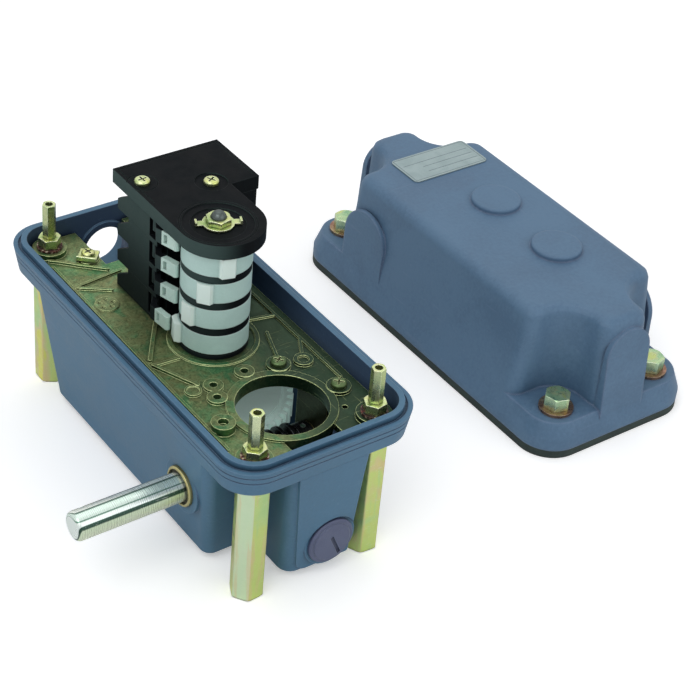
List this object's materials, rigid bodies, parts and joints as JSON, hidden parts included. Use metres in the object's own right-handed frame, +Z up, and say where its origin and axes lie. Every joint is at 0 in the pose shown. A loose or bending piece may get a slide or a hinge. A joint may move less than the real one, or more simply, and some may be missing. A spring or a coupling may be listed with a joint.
{
  "type": "geared rotary cam limit switch",
  "caption": "Geared rotary limit switch with a worm-driven vertical cam stack working contact levers in an open cast housing on hexagonal legs, its cover standing beside it.",
  "frame": {"origin": "centre of the four leg bottoms, on the surface the legs stand on", "axes": "+Z up; -X is the side the input shaft leaves; -Y is the end with the blanking plug; +X is towards the cover"},
  "size_m": [0.3088, 0.2072, 0.1315],
  "materials": {
    "housing_paint": "satin blue-grey enamel on a casting",
    "cover_paint": "fine-textured blue-grey enamel on a casting",
    "gasket_rubber": "matt moulded rubber",
    "seal_rubber": "matt moulded rubber",
    "plate_chromate": "yellow-green chromate on a casting",
    "bracket_chromate": "yellow-green chromate",
    "leg_zinc": "iridescent yellow zinc plating",
    "hardware_zinc": "yellow zinc plating",
    "bolt_zinc": "pale yellow-green zinc plating",
    "fibre_washer": "red vulcanised fibre",
    "copper_washer": "dull copper",
    "shaft_steel": "ground bright steel",
    "worm_steel": "blackened steel, oiled",
    "bush_bronze": "sintered bronze",
    "wheel_nylon": "grey-white nylon",
    "cam_nylon": "pale blue-white nylon",
    "lever_nylon": "pale nylon",
    "black_plastic": "satin black moulding",
    "plug_plastic": "grey-violet moulding",
    "terminal_brass": "plated brass",
    "label_metal": "satin aluminium, bare"
  },
  "bodies": {
    "base": {"base_housing": "housing_paint", "standoff_legs": "leg_zinc", "corner_washers": "fibre_washer", "corner_nuts": "hardware_zinc", "cover_posts": "hardware_zinc", "chassis_plate": "plate_chromate", "blanking_plug": "plug_plastic", "shaft_bush": "bush_bronze", "shaft_seal": "seal_rubber", "worm_bracket": "bracket_chromate", "worm_bush": "bush_bronze", "bracket_screws": "hardware_zinc", "cam_shaft_bush": "bush_bronze", "cam_base_bearing": "black_plastic", "top_bearing_plate": "black_plastic", "top_plate_screws": "hardware_zinc", "contact_block_1": "black_plastic", "contact_block_2": "black_plastic", "contact_block_3": "black_plastic", "contact_block_4": "black_plastic", "terminal_screws": "terminal_brass", "terminal_clamps": "terminal_brass", "lever_pins": "shaft_steel", "earth_clamp": "hardware_zinc", "earth_screw": "hardware_zinc"},
    "input": {"input_shaft": "shaft_steel", "shaft_circlip": "shaft_steel", "worm": "worm_steel", "worm_pin": "shaft_steel"},
    "cams": {"cam_shaft": "shaft_steel", "worm_wheel": "wheel_nylon", "wheel_pin": "shaft_steel", "cam_1": "cam_nylon", "cam_2": "cam_nylon", "cam_3": "cam_nylon", "cam_4": "cam_nylon", "cam_spacers": "black_plastic", "cam_top_sleeve": "black_plastic", "cam_tab_washer": "hardware_zinc", "cam_nut": "hardware_zinc"},
    "lever_1": {"lever_1": "black_plastic", "lever_tip_1": "lever_nylon"},
    "lever_2": {"lever_2": "black_plastic", "lever_tip_2": "lever_nylon"},
    "lever_3": {"lever_3": "black_plastic", "lever_tip_3": "lever_nylon"},
    "lever_4": {"lever_4": "black_plastic", "lever_tip_4": "lever_nylon"},
    "cover": {"cover_shell": "cover_paint", "cover_gasket": "gasket_rubber", "cover_bolts": "bolt_zinc", "cover_washers": "copper_washer", "nameplate": "label_metal"}
  },
  "joints": [
    {"name": "input_turn", "type": "hinge", "parent": "base", "child": "input", "pos_m": [0, -0.0493, 0.036], "axis": [1, 0, 0], "continuous": true},
    {"name": "cam_turn", "type": "hinge", "parent": "base", "child": "cams", "pos_m": [0, -0.007, 0.06], "axis": [0, 0, 1], "continuous": true},
    {"name": "lever_1_swing", "type": "hinge", "parent": "base", "child": "lever_1", "pos_m": [-0.0126, 0.018, 0.0745], "axis": [0, 0, -1], "range_deg": [0, 3], "stiffness_Nm_per_rad": 0.01, "springref_deg": -5.73},
    {"name": "lever_2_swing", "type": "hinge", "parent": "base", "child": "lever_2", "pos_m": [-0.0126, 0.018, 0.0874], "axis": [0, 0, -1], "range_deg": [0, 10], "stiffness_Nm_per_rad": 0.01, "springref_deg": -5.73},
    {"name": "lever_3_swing", "type": "hinge", "parent": "base", "child": "lever_3", "pos_m": [-0.0126, 0.018, 0.1003], "axis": [0, 0, -1], "range_deg": [0, 10], "stiffness_Nm_per_rad": 0.01, "springref_deg": -5.73},
    {"name": "lever_4_swing", "type": "hinge", "parent": "base", "child": "lever_4", "pos_m": [-0.0126, 0.018, 0.1132], "axis": [0, 0, -1], "range_deg": [0, 10], "stiffness_Nm_per_rad": 0.01, "springref_deg": -5.73},
    {"name": "cover_lift", "type": "slide", "parent": "base", "child": "cover", "axis": [0, 0, 1], "range_m": [0, 0.15]}
  ],
  "couplings": [
    {"joint": "cam_turn", "follows": "input_turn", "ratio": 0.020833}
  ]
}
